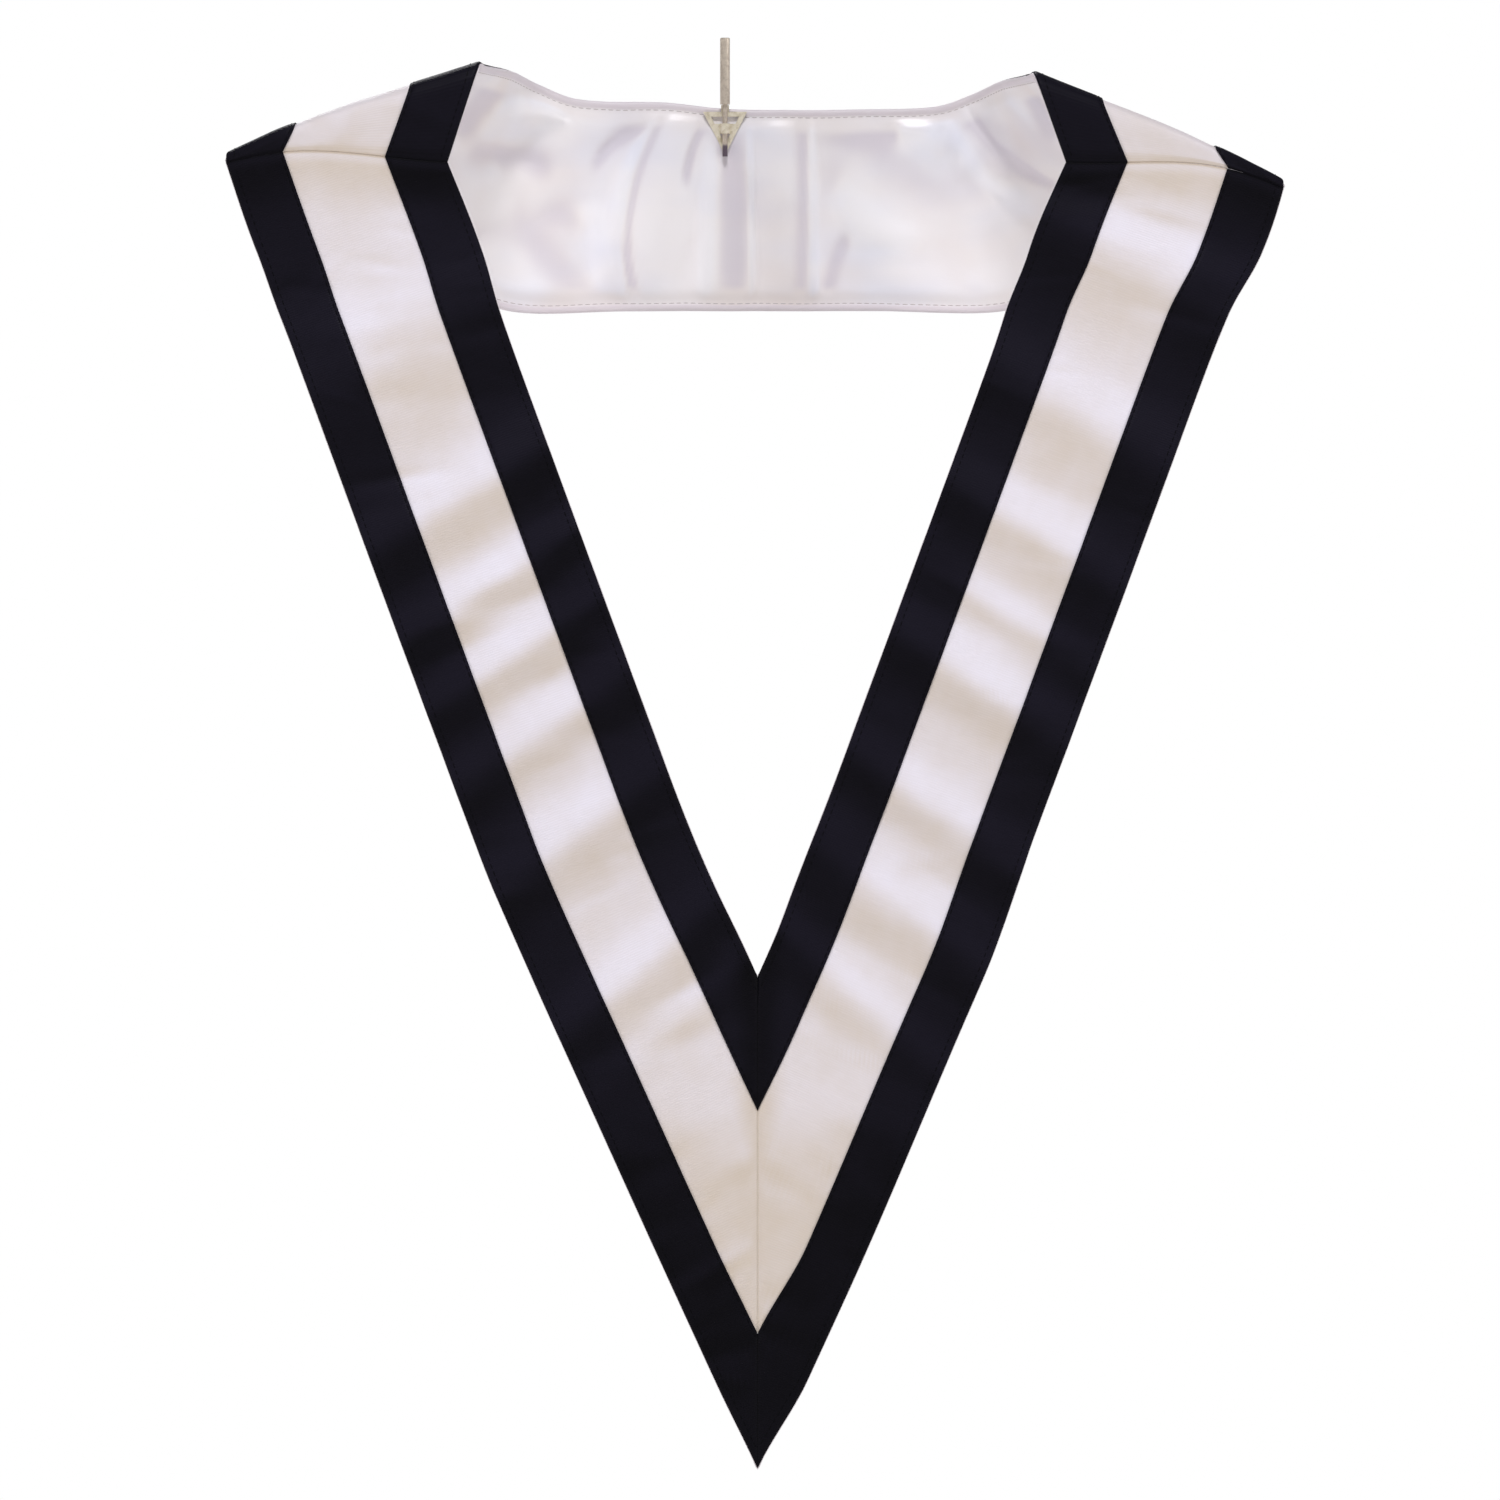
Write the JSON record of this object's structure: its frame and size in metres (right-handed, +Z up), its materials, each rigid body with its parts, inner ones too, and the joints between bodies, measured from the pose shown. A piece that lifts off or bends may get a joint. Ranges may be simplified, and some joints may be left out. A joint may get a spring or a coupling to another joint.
{
  "type": "masonic collar with hanging clip",
  "caption": "V-shaped regalia collar of white ribbon with black borders and white satin lining, held up at the neck edge by a small metal hanging clip.",
  "frame": {"origin": "the top end of the clip's rod, the point that the collar hangs from", "axes": "+X to the right as the collar's front is seen, -Y towards the viewer of the front, +Z up"},
  "size_m": [0.5203, 0.1515, 0.709],
  "materials": {
    "white_ribbon": "ribbed off-white ribbon with a soft sheen",
    "black_border": "ribbed black ribbon with a faint sheen",
    "satin_lining": "glossy white satin",
    "clip_brass": "dull brass",
    "clip_rod": "satin, beige-grey"
  },
  "bodies": {
    "root": {"left_front_ribbon": "white_ribbon", "right_front_ribbon": "white_ribbon", "back_ribbon": "white_ribbon", "left_front_inner_border": "black_border", "left_front_outer_border": "black_border", "right_front_inner_border": "black_border", "right_front_outer_border": "black_border", "back_neck_border": "black_border", "back_outer_border": "black_border", "left_front_lining": "satin_lining", "right_front_lining": "satin_lining", "back_lining": "satin_lining", "clip_frame": "clip_brass", "clip_rod": "clip_rod"}
  },
  "joints": []
}
